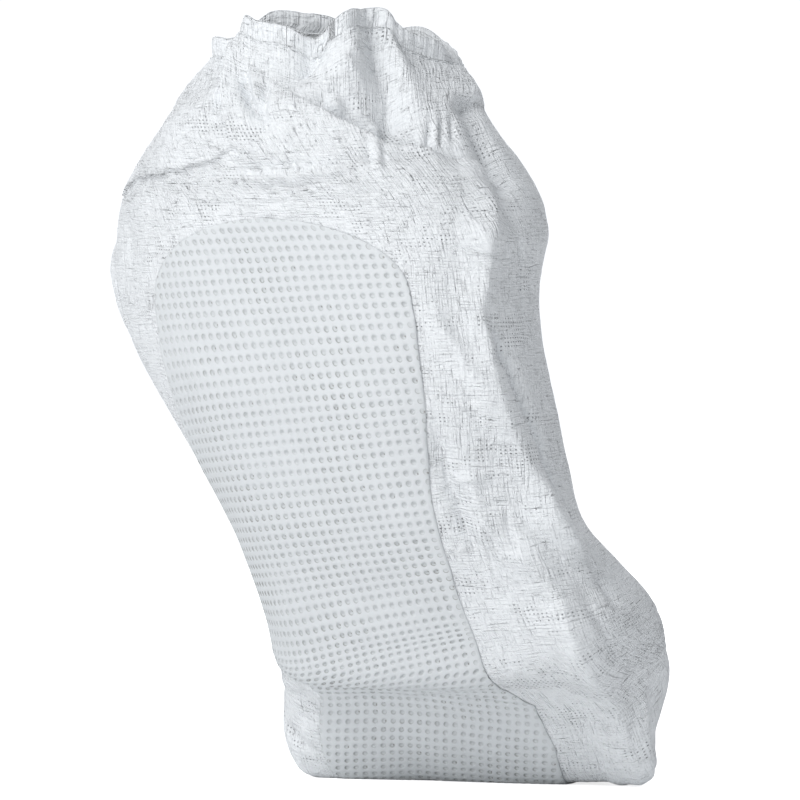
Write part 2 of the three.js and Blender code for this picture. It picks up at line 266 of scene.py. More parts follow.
# Folds of the cloth. Each is a line of (along, down) points with a height, a width and a kind:
# ridge and valley are rounded, tent has a sharp crest, and overlap drops sharply on one side of its line:
# on the left of a line that runs down.
foldColumns = "name kind height width line".split()
foldRows = (
    ("mainValley", "valley", 7, 7.5, ((-20, -3), (-22, 10), (-25, 24), (-26, 36), (-24, 47))),
    ("panelEdge", "tent", 2.2, 12, ((-26, -12), (-29, 6), (-33, 20), (-34, 33), (-32, 44))),
    ("panelFar", "tent", 9, 33, ((-58, -10), (-62, 6), (-64, 20), (-60, 33))),
    ("hump", "tent", 4.5, 15, ((-6, 2), (-4, 14), (4, 22), (20, 24))),
    ("diagonal", "overlap", 6.5, 12, ((-40, 55), (-25, 50), (-16, 47), (-8, 40), (1, 33), (10, 27))),
    ("facetTop", "tent", 2.4, 9, ((12, 26), (10, 14), (4, 4))),
    ("recess", "valley", 6, 9, ((-2, 28), (-10, 33), (-18, 38))),
    ("grooveLeft", "valley", 6.5, 2.4, ((37, 14), (34, 26), (31, 38))),
    ("grooveRight", "valley", 5, 2.2, ((25, 18), (27, 28), (31, 38))),
    ("grooveMiddle", "ridge", 2.2, 2.6, ((32, 12), (31, 22), (31, 30))),
    ("ruffleEdge", "overlap", 6, 12, ((42, -10), (44, 6), (46, 20), (47, 36))),
    ("rimFold", "valley", 5, 3.4, ((2, -10), (4, 2), (9, 9), (14, 14))),
    ("ringA", "ridge", 1.0, 1.1, ((14, 8), (4, 3), (-6, 5), (-14, 14))),
    ("ringB", "ridge", 1.0, 1.0, ((16, 15), (4, 11), (-6, 13), (-16, 22))),
    ("ringC", "ridge", 0.8, 1.0, ((18, 21), (8, 18), (-4, 19), (-14, 29))),
    ("puckerA", "valley", 1.6, 1.2, ((-10, 47), (-2, 63))),
    ("puckerB", "valley", 1.6, 1.3, ((-16, 48), (-7, 63))),
    ("bulgeB", "ridge", 1.6, 2.4, ((-13, 49), (-5, 62))),
    ("puckerC", "valley", 3, 1.3, ((-40, 38), (-35, 52))),
    ("puckerD", "valley", 2.4, 1.2, ((-45, 36), (-39, 51))),
    ("puckerE", "valley", 2.2, 1.1, ((-50, 36), (-44, 50))),
    ("puckerF", "ridge", 1.6, 1.3, ((-43, 37), (-37, 51))),
    ("creaseFan", "valley", 1.5, 1.3, ((34, 42), (42, 54), (50, 68))),
    ("creaseFanB", "valley", 1.5, 1.2, ((22, 44), (26, 54), (28, 62))),
    ("shelf", "overlap", 2.6, 7, ((-12, 58), (10, 60), (40, 62), (62, 64))),
    ("seamA", "valley", 1.0, 0.8, ((78, 72), (50, 70), (18, 66), (-2, 60))),
    ("seamB", "valley", 1.0, 0.8, ((90, 80), (60, 77), (20, 76), (-6, 70))),
    ("seamC", "valley", 0.9, 0.8, ((70, 75), (52, 73), (30, 71))),
    ("frontRecess", "valley", 6.5, 6, ((-60, 36), (-60, 50), (-58, 64), (-50, 76))),
    ("highRidge", "tent", 3.4, 9, ((-46, 66), (-40, 80), (-35, 97))),
    ("foldLines", "valley", 1.6, 1.6, ((-52, 88), (-55, 106), (-53, 122))),
    ("sideRidge", "tent", 5.2, 11.5, (
        (-36, 85), (-32, 97), (-29, 111), (-26, 125), (-28, 144), (-32, 164), (-38, 178), (-44, 194),
        (-48, 207), (-56, 226))),
    ("sideValley", "valley", 5.2, 2.6, (
        (-29, 122), (-34, 139), (-43, 158), (-53, 176), (-52, 197))),
    ("softFold", "tent", 3.4, 8, ((-4, 117), (-11, 129), (-21, 148), (-29, 162))),
    ("edgeFold", "valley", 3.2, 2.8, ((-4, 164), (-7, 188), (-10, 205), (-13, 222))),
    ("edgePuff", "ridge", 1.8, 3.4, ((-15, 180), (-18, 198), (-19, 216))),
    ("toeRidge", "tent", 6.5, 13, (
        (-26, 210), (-34, 229), (-38, 241), (-38, 273), (-34, 290), (-30, 307), (-30, 353))),
    ("footCrease", "valley", 1.8, 2.2, ((-58, 224), (-62, 240), (-66, 258))),
    ("noseCrease", "valley", 1.4, 1.8, ((-50, 250), (-52, 272))),
    ("shortA", "valley", 1.4, 1.1, ((-18, 205), (-22, 218))),
    ("shortB", "valley", 1.4, 1.0, ((-28, 200), (-29, 220))),
    ("shortC", "ridge", 1.2, 1.0, ((-20, 196), (-32, 194))),
    ("shortD", "ridge", 1.0, 1.0, ((-12, 158), (-23, 159))),
    ("shortE", "ridge", 1.2, 1.0, ((-8, 190), (-26, 186))),
    ("toeSide", "tent", 4, 7, ((-44, 300), (-40, 314), (-36, 330), (-32, 354))),
    ("toeCrease", "overlap", 1.5, 4, (
        (128, 308), (118, 305), (98, 300), (58, 294), (30, 289), (17, 291), (-2, 297))),
    ("toeCorner", "tent", 1.5, 8, ((132, 318), (124, 334), (116, 350))),
    ("toeLeft", "valley", 1.8, 1.6, ((126, 323), (116, 326), (106, 330))),
    ("heelSide", "valley", 1.4, 6, ((150, 80), (146, 94), (148, 108))),
    ("backFoldA", "valley", 2.6, 7, ((-150, 20), (-140, 60), (-148, 110))),
    ("backFoldB", "tent", 3.4, 16, ((200, 60), (190, 120), (196, 170))),
    ("backFoldC", "valley", 2.2, 6, ((170, 60), (176, 100), (168, 150), (172, 200))),
    ("backFoldD", "valley", 2.6, 7, ((-100, 120), (-112, 160), (-104, 210), (-110, 250))),
    ("backFoldE", "ridge", 1.2, 12, ((-80, 150), (-86, 200), (-90, 250), (-98, 282))),
    ("backFoldF", "valley", 2.2, 6, ((180, 220), (172, 260), (178, 300))),
)
# How each kind of fold rises beside its line, in mm or as powers of the distance.
foldShape = {
    "lip": 1.2,  # how fast an overlap drops behind its line
    "groove": 0.45,  # the groove along an overlap's foot, as a share of its height
    "grooveAway": 3.0,
    "grooveWidth": 2.6,
    "crestRound": 0.2,
    "tentPower": 1.35,
    "roundPower": 1.5,
    "fadeMost": 12.0,  # a fold fades towards both its ends over this length, or this share of the whole
    "fadeShare": 0.3,
    "endHeight": 0.25,
    "waver": 1.0,  # its line wanders this far from the straight one
    "waverSize": 13.0,
    "shiver": 0.5,
    "shiverSize": 5.0,
}
# The cuff slouches over the ankle: its lower edge hangs forward over the cloth below.
slouch = {
    "lift": 1.5,
    "liftWidth": 12.0,
    "drop": 0.9,
    "dropWidth": 5.0,
    "tuck": 0.7,
    "tuckWidth": 7.0,
    "waver": 1.2,
    "rightEnd": 42.0,  # it fades out between each pair of these places
    "rightFull": 60.0,
    "leftFull": 150.0,
    "leftEnd": 172.0,
}
slouchLine = ((220, 60), (180, 66), (156, 73), (145, 68), (118, 63), (84, 59), (65, 55), (50, 50), (38, 48))


def lineDistance(along, down, line):
    # Distance to a line of points, and which side: positive on the left seen along the line.
    best = np.full(along.shape, 1e9)
    side = np.zeros(along.shape)
    for (x1, y1), (x2, y2) in zip(line[:-1], line[1:]):
        dx, dy = x2 - x1, y2 - y1
        share = ((along - x1) * dx + (down - y1) * dy) / (dx * dx + dy * dy)
        t = np.clip(share, 0, 1)
        ox, oy = along - x1 - t * dx, down - y1 - t * dy
        distance = np.hypot(ox, oy)
        nearer = distance < best
        best = np.where(nearer, distance, best)
        side = np.where(nearer, np.sign(dx * oy - dy * ox), side)
    return best, side


def endFade(along, down, line):
    length = min(foldShape["fadeMost"], foldShape["fadeShare"] * math.dist(line[0], line[-1]))
    ends = [np.hypot(along - endAlong, down - endDown) for endAlong, endDown in (line[0], line[-1])]
    rest = foldShape["endHeight"]
    return rest + (1 - rest) * smoothStep(0, length, np.minimum(*ends))


def foldWaver(along, down, seed):
    broad = foldShape["waver"] * softNoise(along, down, seed, foldShape["waverSize"])
    return broad + foldShape["shiver"] * softNoise(along, down, seed + 1, foldShape["shiverSize"])


def foldRaise(along, down):  # how far the folds lift the cloth along its normal
    raised = np.zeros(np.shape(along))
    nearAlong = along + foldWaver(along, down, 21)
    nearDown = down + foldWaver(along, down, 23)
    for row in foldRows:
        fold = dict(zip(foldColumns, row))
        distance, side = lineDistance(nearAlong, nearDown, fold["line"])
        width = fold["width"]
        if fold["kind"] == "overlap":
            groove = np.exp(-(((distance - foldShape["grooveAway"]) / foldShape["grooveWidth"]) ** 2))
            behind = np.exp(-(distance / foldShape["lip"]) ** 2) - foldShape["groove"] * groove
            shape = np.where(side > 0, np.exp(-distance / width), behind)
        elif fold["kind"] == "tent":
            away = np.sqrt(distance**2 + foldShape["crestRound"])
            shape = np.maximum(1 - away / width, 0) ** foldShape["tentPower"]
        else:
            shape = np.exp(-np.abs(distance / width) ** foldShape["roundPower"])
            shape = -shape if fold["kind"] == "valley" else shape
        raised += fold["height"] * shape * endFade(along, down, fold["line"])
    return raised


def slouchShift(along, down):  # (outwards, upwards) shift of the cuff's hanging edge
    wavy = down + slouch["waver"] * softNoise(along, 0 * down, seed=32, size=9)
    distance = lineDistance(along, wavy, slouchLine)[0]
    fade = smoothStep(slouch["rightEnd"], slouch["rightFull"], along)
    fade = fade * smoothStep(slouch["leftEnd"], slouch["leftFull"], along)
    above = wavy < np.interp(along, *zip(*sorted(slouchLine)))
    lift = slouch["lift"] * np.exp(-distance / slouch["liftWidth"])
    tuck = slouch["tuck"] * np.exp(-distance / slouch["tuckWidth"])
    drop = slouch["drop"] * np.exp(-((distance / slouch["dropWidth"]) ** 2))
    return np.where(above, lift, -tuck) * fade, np.where(above, -drop, 0) * fade


# Rim: how the elastic gathers it, one row for each high or low place round the opening: (along, lift, out).
# along is mm leftwards at the rim, lift is upwards and out is outwards.
rimRows = (
    (-128, 3.5, 1), (-112, 0, -2), (-98, 1, 4), (-84, -6.5, 3), (-70, -15.5, 1), (-58, -11, 0.5),
    (-50, -9, 1), (-38, -4, 1), (-30, 0.5, 1), (-25, 7.5, 1), (-20, 9, -1), (-13, 8, -0.5),
    (-8, 6.5, 1.5), (-3, 3, 1), (3, -1, -3), (9, -3.5, -5), (14, -1, -2), (20, 0.5, 0),
    (30, 1.5, 0.5), (38, 4, -1), (42, 2, -4.5), (46, -1, -8), (54, -4, -2), (64, -5, 7),
    (74, -7, 11), (86, -4.5, 8), (100, 6.5, 4), (114, 7, 0), (122, 6, 1), (128, 3.5, 1),
)
rimTable = np.array(rimRows, float)
rimMake = {
    "around": 257.5,  # the rows repeat after this length
    "liftFade": 40.0,  # how far down each shift reaches
    "outFade": 34.0,
    "outFull": -4.0,
}


def rimShift(along, down):  # (outwards, upwards) shift of the gathers
    whole = rimMake["around"]
    turn = np.mod(along / form.around(down) * whole + whole / 2, whole) - whole / 2
    knots = np.concatenate([rimTable[:, 0] - whole, rimTable[:, 0], rimTable[:, 0] + whole])
    values = np.tile(rimTable[:, 1:], (3, 1))
    apart = np.concatenate([[True], np.diff(knots) > 1])  # the first and the last row are one place
    shift = spline(knots[apart], values[apart], turn)
    liftFade = smoothStep(rimMake["liftFade"], 0, down)
    outFade = smoothStep(rimMake["outFade"], rimMake["outFull"], down)
    return shift[..., 1] * outFade, shift[..., 0] * liftFade


# Small sharp creases all over the cloth, more of them round the cuff. Heights and sizes are in mm.
crinkle = {
    "broad": 0.35,
    "broadSize": 21.0,
    "broadStretch": 0.6,
    "sharp": 0.3,
    "sharpSize": 9.5,
    "sharpStretch": 0.7,
    "fine": 0.2,
    "fineSize": 5.2,
    "narrow": 2.4,
    "power": 1.6,
    "warp": 3.0,
    "warpSize": 11.0,
    "strength": 0.4,
    "patches": 0.35,
    "patchSize": 34.0,
    "cuffStrength": 0.7,
    "cuffEnd": 100.0,
    "cuffFull": 50.0,
}


def crumpleHeight(along, down):
    warpAlong = crinkle["warp"] * softNoise(along, down, 41, crinkle["warpSize"])
    warpDown = crinkle["warp"] * softNoise(along, down, 42, crinkle["warpSize"])
    sharp = softNoise(along + warpAlong, down * crinkle["sharpStretch"] + warpDown, 43, crinkle["sharpSize"])
    fine = softNoise(along + warpDown, down + warpAlong, 44, crinkle["fineSize"])
    height = crinkle["broad"] * softNoise(along, down * crinkle["broadStretch"], 45, crinkle["broadSize"])
    for share, hills in ((crinkle["sharp"], sharp), (crinkle["fine"], fine)):
        height = height + share * np.maximum(1 - np.abs(hills) * crinkle["narrow"], 0) ** crinkle["power"]
    patches = crinkle["patches"] * softNoise(along, down, 46, crinkle["patchSize"])
    cuff = crinkle["cuffStrength"] * smoothStep(crinkle["cuffEnd"], crinkle["cuffFull"], down)
    return height * (crinkle["strength"] + patches + cuff)


clothRest = {
    "backSeam": -165.0,  # folds further right than this are counted from the left
    "levelLean": 0.25,  # the cuff and rim shift nearly level
    "underGrip": 2.5,  # the cloth lies smooth under the grip sheet, from here inside its edge
    "besideGrip": -1.5,
    "smoothShare": 0.35,
}


def clothPoint(along, down, detail=True, above=0.0):
    # A point of the cloth's outer face, above mm further out. The rim goes on straight up above 0.
    down = np.asarray(down, float)
    normal = form.normal(along, down)
    level = normal * [1, 1, clothRest["levelLean"]]
    level = level / np.maximum(np.linalg.norm(level, axis=-1, keepdims=True), 1e-6)
    half = form.around(down) / 2
    signed = np.mod(along + half, 2 * half) - half
    signed = np.where(signed < clothRest["backSeam"], signed + 2 * half, signed)
    outward, drop = slouchShift(signed, down)
    rimOut, rimLift = rimShift(along, down)
    loose = smoothStep(clothRest["underGrip"], clothRest["besideGrip"], insideSole(signed, down))
    share = clothRest["smoothShare"]
    raised = foldRaise(signed, down) * (share + (1 - share) * loose) + above
    if detail:
        raised = raised + crumpleHeight(signed, down) * loose
    point = form.point(along, down) + normal * raised[..., None] + level * (outward + rimOut)[..., None]
    point[..., 2] += drop + rimLift + np.maximum(-down, 0)
    return point


# Meshes from points in mm. The cloth's own map counts along and down in tenths of a metre.
mapScale = 0.01


def meshFrom(name, points, faces, uv=None, seam=0):  # seam is the map's width where it closes on itself
    mesh = bpy.data.meshes.new(name)
    mesh.from_pydata([tuple(p) for p in points], [], faces)
    if uv is not None:
        layer = mesh.uv_layers.new(name="clothMap")
        loops = np.zeros(len(mesh.loops), np.int32)
        mesh.loops.foreach_get("vertex_index", loops)
        corners = np.asarray(uv, np.float32)[loops]
        for polygon in mesh.polygons if seam else ():  # faces over the map's seam go on past its end
            own = corners[polygon.loop_start:polygon.loop_start + polygon.loop_total]
            if np.ptp(own[:, 0]) > seam / 2:
                low = own[:, 0] < 0
                own[low, 0] += form.around(own[low, 1] / mapScale) * mapScale
        layer.data.foreach_set("uv", corners.ravel())
    mesh.validate()
    mesh.update()
    piece = bpy.data.objects.new(name, mesh)
    bpy.context.scene.collection.objects.link(piece)
    mesh.polygons.foreach_set("use_smooth", np.ones(len(mesh.polygons), bool))
    return piece


def ringNormals(grid):  # grid holds closed rings of points
    around = np.roll(grid, -1, axis=1) - np.roll(grid, 1, axis=1)
    normals = np.cross(around, np.gradient(grid, axis=0))
    return normals / np.maximum(np.linalg.norm(normals, axis=2, keepdims=True), 1e-9)


# Upper: the cloth bag, open at the ankle and cut out under the grip sheet.
upperMake = {
    "columns": 360,  # round the bag, closer together at the front and right
    "rows": 297,
    "frontFrom": (-0.29, -0.2),  # in turns from the right front corner
    "frontTo": (0.38, 0.3),
    "frontDensity": 1.5,
    "backDensity": 0.72,
    "wall": 1.0,
    "innerStep": 3,  # the inner face has one cell for every three by three outer ones
    "margin": 5.0,  # how far the cloth goes on under the grip sheet
    "tipOut": 2.2,  # how far the middle of the toe's tip stands out from its last ring
    "tipOutInside": 0.6,
    "tipMap": 12.0,  # how far past the last ring it lies on the map
    "mapWidth": 2.4,
}


def upperGrid():
    turns = np.linspace(-0.5, 0.5, 2001)
    front = smoothStep(*upperMake["frontFrom"], turns) * smoothStep(*upperMake["frontTo"], turns)
    density = upperMake["backDensity"] + (upperMake["frontDensity"] - upperMake["backDensity"]) * front
    total = np.concatenate([[0], np.cumsum((density[1:] + density[:-1]) / 2)])
    columns = np.interp(np.arange(upperMake["columns"]) / upperMake["columns"] * total[-1], total, turns)
    share, down = np.meshgrid(columns, np.linspace(0, reach[-1], upperMake["rows"] + 1))
    return share * form.around(down), down


def buildUpper():
    along, down = upperGrid()
    outer = clothPoint(along, down)
    sides = (outer, outer - ringNormals(outer) * upperMake["wall"])
    rows, columns, step = upperMake["rows"], upperMake["columns"], upperMake["innerStep"]
    blockRows, blockColumns = rows // step, columns // step
    middleAlong, middleDown = along[:-1][1::step, 1::step], down[:-1][1::step, 1::step]
    half = form.around(middleDown) / 2
    hasBlock = insideSole(np.mod(middleAlong + half, 2 * half) - half, middleDown) <= upperMake["margin"]
    points, faces, uv = [], [], []
    used = {}

    def vertex(i, j, inner):
        key = (i, j % columns, inner)
        if key not in used:
            used[key] = len(points)
            points.append(sides[inner][i, j % columns])
            uv.append((along[i, j % columns] * mapScale, down[i, j % columns] * mapScale))
        return used[key]

    def wall(places):  # joins a line of outer vertices to the inner ones at its ends
        faces.append([vertex(i, j, 0) for i, j in places] + [vertex(*places[-1], 1), vertex(*places[0], 1)])

    for bi, bj in zip(*np.where(hasBlock)):
        i0, j0 = int(bi) * step, int(bj) * step
        i1, j1 = i0 + step, j0 + step
        for i in range(i0, i1):
            for j in range(j0, j1):
                cell = ((i, j), (i, j + 1), (i + 1, j + 1), (i + 1, j))
                faces.append([vertex(*place, 0) for place in cell])
        faces.append([vertex(i0, j0, 1), vertex(i1, j0, 1), vertex(i1, j1, 1), vertex(i0, j1, 1)])
        if bi == 0 or not hasBlock[bi - 1, bj]:
            wall([(i0, j) for j in range(j1, j0 - 1, -1)])
        if bi < blockRows - 1 and not hasBlock[bi + 1, bj]:
            wall([(i1, j) for j in range(j0, j1 + 1)])
        if not hasBlock[bi, bj - 1]:
            wall([(i, j0) for i in range(i0, i1 + 1)])
        if not hasBlock[bi, (bj + 1) % blockColumns]:
            wall([(i, j1) for i in range(i1, i0 - 1, -1)])
    for inner in (0, 1):  # the tip of the toe
        ring = [vertex(rows, j, inner) for j in range(0, columns, step if inner else 1)]
        tip = len(points)
        out = upperMake["tipOutInside"] if inner else upperMake["tipOut"]
        points.append(np.mean([points[k] for k in ring], axis=0) + [0, out, 0])
        uv.append((0.0, (reach[-1] + upperMake["tipMap"]) * mapScale))
        for first, second in zip(ring, ring[1:] + ring[:1]):
            faces.append([second, first, tip] if inner else [first, second, tip])
    return meshFrom("upper_cloth", toFrame(points), faces, uv, upperMake["mapWidth"])


# Grip sheet: the mesh follows the rows and columns of dimples, so that each pit is real.
gripMake = {
    "columnPitch": 4.05,
    "middle": 56.0,  # half the sheet's width: row heights are given at 0, here and at twice this
    "rise": 1.0,  # thickness above the cloth
    "pitDepth": 0.95,
    "pitRadius": 1.15,
    "pitFloor": 0.52,  # flat share of the pit
    "depthLeast": 0.78,
    "depthVaries": 0.3,
    "border": 2.4,  # plain rim round the dimples
    "edgeDrop": 0.45,
    "edgeWidth": 1.2,
    "unevenness": 0.28,
    "under": 0.03,  # gap to the cloth
    "underPitch": 6.0,
    "underMargin": 3.0,
}
gripColumns, gripRows = (-12, 46), (-6, 82)
dimpleMap = 0.02  # size of a dimple's cell on the sheet's own map
cellCuts = (-0.5, -0.31, -0.16, 0.0, 0.16, 0.31)  # mesh lines in one pitch, closer together in the pit
# The columns of dimples run askew: how far each has slid to the right at some distances down.
slideDown = (85, 135, 182, 207, 232, 256, 268, 280, 298, 318, 338, 360, 405)
slideBy = (0, 8.1, 15.4, 17.8, 19.1, 18.4, 16.4, 6.9, -2.1, -9.9, -15.5, -20, -28)
# Rows of dimples: (row, right, middle, left), with how far down it is at the right edge, the middle and the
# left edge.
rowRows = (
    (-4, 79.5, 80.2, 82.5), (0, 95.8, 96.9, 99.2), (6.8, 121.4, 124.1, 127.2), (13.2, 148.8, 152.7, 157.6),
    (19.9, 175.6, 180.8, 185.2), (27, 205.4, 211.1, 216.4), (34.6, 231.6, 238.4, 247.6),
    (38.5, 247.6, 254.2, 265.5), (43.1, 258.8, 267.3, 280), (53.5, 302.8, 300.8, 308.0),
    (56.5, 317, 314.8, 318), (60.5, 334.2, 330.4, 330.8), (78, 406, 404, 404),
)


def dimplePlace(column, row):  # (along, down) of a place counted in dimple columns and rows
    table = np.array(rowRows)
    right, middle, left = np.moveaxis(spline(table[:, 0], table[:, 1:], row), -1, 0)
    down = middle
    for _ in range(4):  # the columns slide along with down, so the two are found in turn
        along = column * gripMake["columnPitch"] - np.interp(down, slideDown, slideBy)
        u = (along - gripMake["middle"]) / gripMake["middle"]
        down = middle + (left - right) / 2 * u + ((left + right) / 2 - middle) * np.minimum(u * u, 1.5)
    return along, down


def borderLoop(quads):  # the longest loop of edges that only one face uses
    edges = {}
    for quad in quads:
        for a, b in zip(quad, quad[1:] + quad[:1]):
            if (b, a) in edges:
                del edges[(b, a)]
            else:
                edges[(a, b)] = True
    following, longest = dict(edges.keys()), []
    while following:
        at, loop = next(iter(following)), []
        while at in following:
            loop.append(at)
            at = following.pop(at)
        longest = max(longest, loop, key=len)
    return longest


def ontoOutline(along, down, border):  # moves border points along the slope of the inside distance
    step = 0.05
    for _ in range(3):
        value = insideSole(along, down)
        slopeAlong = (insideSole(along + step, down) - value) / step
        slopeDown = (insideSole(along, down + step) - value) / step
        size = np.maximum(slopeAlong**2 + slopeDown**2, 0.2)
        along = np.where(border, along - value * slopeAlong / size, along)
        down = np.where(border, down - value * slopeDown / size, down)
    return along, down


def pitDepths(column, row):  # no pits near the border, and each is a little different
    nearColumn, nearRow = np.round(column), np.round(row)
    away = np.hypot(column - nearColumn, row - nearRow) * gripMake["columnPitch"] / gripMake["pitRadius"]
    varies = softNoise(nearColumn * 7.3, nearRow * 5.1, seed=51, size=1)
    deep = gripMake["pitDepth"] * (gripMake["depthLeast"] + gripMake["depthVaries"] * varies)
    present = insideSole(*dimplePlace(nearColumn, nearRow)) > gripMake["border"]
    return deep * present * smoothStep(1, gripMake["pitFloor"], away)


def buildGripSheet():
    cuts = np.array(cellCuts)
    lines = [(np.arange(*span)[:, None] + cuts).ravel() for span in (gripColumns, gripRows)]
    column, row = np.meshgrid(*lines)
    along, down = dimplePlace(column, row)
    inside = insideSole(along, down)
    hasCell = inside[:-1, :-1] + inside[1:, :-1] + inside[:-1, 1:] + inside[1:, 1:] > 0
    touched = np.zeros(inside.shape, int)  # how many cells meet at a point
    for i, j in ((0, 0), (0, 1), (1, 0), (1, 1)):
        touched[i:i + hasCell.shape[0], j:j + hasCell.shape[1]] += hasCell
    along, down = ontoOutline(along, down, (touched > 0) & (touched < 4))
    edgeDrop = gripMake["edgeDrop"] * smoothStep(gripMake["edgeWidth"], 0, insideSole(along, down))
    uneven = gripMake["unevenness"] * softNoise(along, down, seed=52, size=13)
    raised = gripMake["rise"] - edgeDrop - pitDepths(column, row) + uneven
    kept = touched > 0
    points = list(clothPoint(along, down, detail=False, above=raised)[kept])
    uv = list(np.stack([column[kept], row[kept]], 1) * dimpleMap + (0, 10 * dimpleMap))
    index = np.full(kept.shape, -1)
    index[kept] = np.arange(len(points))
    faces = []
    for i, j in zip(*np.where(hasCell)):
        faces.append([int(index[place]) for place in ((i, j), (i, j + 1), (i + 1, j + 1), (i + 1, j))])
    # Underside: the same border just above the cloth, filled with large triangles.
    loop = borderLoop(faces)
    places = np.stack([along[kept], down[kept]], 1)
    pitch = gripMake["underPitch"]
    coarse = np.stack(np.meshgrid(np.arange(-4, 134, pitch), np.arange(80, 408, pitch)), -1)
    coarse = coarse[insideSole(coarse[..., 0], coarse[..., 1]) > gripMake["underMargin"]]
    flat = [Vector(place) for place in np.concatenate([places[loop], coarse])]
    edges = [(k, (k + 1) % len(loop)) for k in range(len(loop))]
    made, _, triangles, sources, _, _ = delaunay_2d_cdt(flat, edges, [], 1, 1e-4)
    made = np.array([tuple(place) for place in made])
    first = len(points)
    points += list(clothPoint(made[:, 0], made[:, 1], detail=False, above=gripMake["under"]))
    uv += [(0.0, 0.0)] * len(made)
    for triangle in triangles:
        a, b, c = made[triangle[:3]]
        turn = (b[0] - a[0]) * (c[1] - a[1]) - (b[1] - a[1]) * (c[0] - a[0])
        faces.append([first + k for k in (triangle if turn < 0 else reversed(triangle))])
    under = {source: first + new for new, these in enumerate(sources) for source in these}
    for k, following in edges:
        faces.append([loop[following], loop[k], under[k], under[following]])
    return meshFrom("grip_sheet_cover", toFrame(points), faces, uv)


# Hem: cloth turned over the elastic and closely puckered.
hemMake = {
    "height": 7.35,
    "thick": 0.75,
    "columns": 600,
    "puckers": 52,
    "puckerDepth": 0.22,
    "puckerDrift": 1.6,
    "lowShare": 0.35,  # the puckers are this much as deep at the lower edge
    "mapStep": -0.013,
}
# Round the section of the hem, from its lower outer edge over the top and back: (out, up), as shares of its
# thickness and height. Below the edge, up is in mm.
hemSection = (
    (-0.1, -0.9), (0.12, 0), (0.3, 0.35), (0.4, 0.7), (0.2, 0.95), (-0.35, 1), (-1, 0.95), (-1.3, 0.7),
    (-1.35, 0.3), (-1.3, -0.9), (-0.6, -1.3),
)


def buildHem():
    count, whole = hemMake["columns"], rimMake["around"]
    along = np.arange(count) / count * whole
    drift = hemMake["puckerDrift"] * softNoise(along, 0 * along, seed=61, size=7)
    strength = 0.6 + 0.5 * softNoise(along, 0 * along, seed=62, size=16)
    turns = hemMake["puckers"] * along / whole
    waves = hemMake["puckerDepth"] * strength * np.sin(2 * math.pi * turns + drift)
    normal = form.normal(along, np.zeros(count)) * [1, 1, 0]
    normal /= np.linalg.norm(normal, axis=1, keepdims=True)
    points, faces, uv = [], [], []
    for k, (out, up) in enumerate(hemSection):
        low = -up * hemMake["height"] if up > 0 else -up
        share = hemMake["lowShare"] + (1 - hemMake["lowShare"]) * smoothStep(1.3, -3, low)
        outward = out * hemMake["thick"] + waves * share
        points += list(clothPoint(along, np.full(count, low)) + normal * outward[:, None])
        uv += [(place * mapScale, k * hemMake["mapStep"]) for place in along]
        following = (k + 1) % len(hemSection) * count
        for j in range(count):
            beside = (j + 1) % count
            faces.append([following + j, following + beside, k * count + beside, k * count + j])
    return meshFrom("hem_band", toFrame(points), faces, uv)


# The row of stitches just below the hem: short rounded threads.
stitchMake = {"down": 1.3, "pitch": 3.4, "length": 2.3, "radius": 0.24, "sides": 6}
# Along a stitch: share of its length, mm above the cloth, share of its radius.
stitchSection = ((0, 0.02, 0.35), (0.25, 0.3, 0.9), (0.5, 0.36, 1), (0.75, 0.3, 0.9), (1, 0.02, 0.35))


def buildStitches():
    points, faces = [], []
    shares, lifts, radii = np.array(stitchSection).T
    radii = radii * stitchMake["radius"]
    sides, last = stitchMake["sides"], len(shares) - 1
    count = int(rimMake["around"] / stitchMake["pitch"])
    for n in range(count):
        along = n * rimMake["around"] / count + shares * stitchMake["length"]
        path = clothPoint(along, np.full(len(along), stitchMake["down"]), above=lifts)
        first = len(points)
        for k, centre in enumerate(path):
            ahead = path[min(k + 1, last)] - path[max(k - 1, 0)]
            ahead /= np.linalg.norm(ahead)
            side = np.cross(ahead, [0, 0, 1])
            side /= np.linalg.norm(side)
            up = np.cross(side, ahead)
            for m in range(sides):
                angle = m * 2 * math.pi / sides
                points.append(centre + radii[k] * (math.cos(angle) * side + math.sin(angle) * up))
        for k in range(first, first + last * sides, sides):
            for m in range(sides):
                a, b = k + m, k + (m + 1) % sides
                faces.append([a, b, b + sides, a + sides])
        faces.append([first + m for m in reversed(range(sides))])
        faces.append([first + last * sides + m for m in range(sides)])
    return meshFrom("hem_stitches", toFrame(points), faces, [(0, 0)] * len(points))


upper = buildUpper()
print("upper made", len(upper.data.polygons))
gripSheet = buildGripSheet()
print("grip sheet made", len(gripSheet.data.polygons))
hem = buildHem()
stitches = buildStitches()
print("hem made", len(hem.data.polygons), len(stitches.data.polygons))

for piece in (hem, stitches):
    bpy.context.view_layer.objects.active = piece
    piece.select_set(True)
    bpy.ops.object.mode_set(mode="EDIT")
    bpy.ops.mesh.select_all(action="SELECT")
    bpy.ops.mesh.normals_make_consistent(inside=False)
    bpy.ops.object.mode_set(mode="OBJECT")
    piece.select_set(False)


def feed(tree, socket, value):  # value is another node's output, or a number or colour for the socket
    if hasattr(value, "links"):
        tree.links.new(value, socket)
    elif value is not None:
        socket.default_value = value


def nodeGroup(name, inputs, outputs):
    group = bpy.data.node_groups.new(name, "ShaderNodeTree")
    for socketName, value in inputs.items():
        kind = "NodeSocketVector" if value is None else "NodeSocketFloat"
        feed(group, group.interface.new_socket(socketName, in_out="INPUT", socket_type=kind), value)
    for socketName in outputs:
        group.interface.new_socket(socketName, in_out="OUTPUT", socket_type="NodeSocketFloat")
    return group, group.nodes.new("NodeGroupInput").outputs, group.nodes.new("NodeGroupOutput").inputs


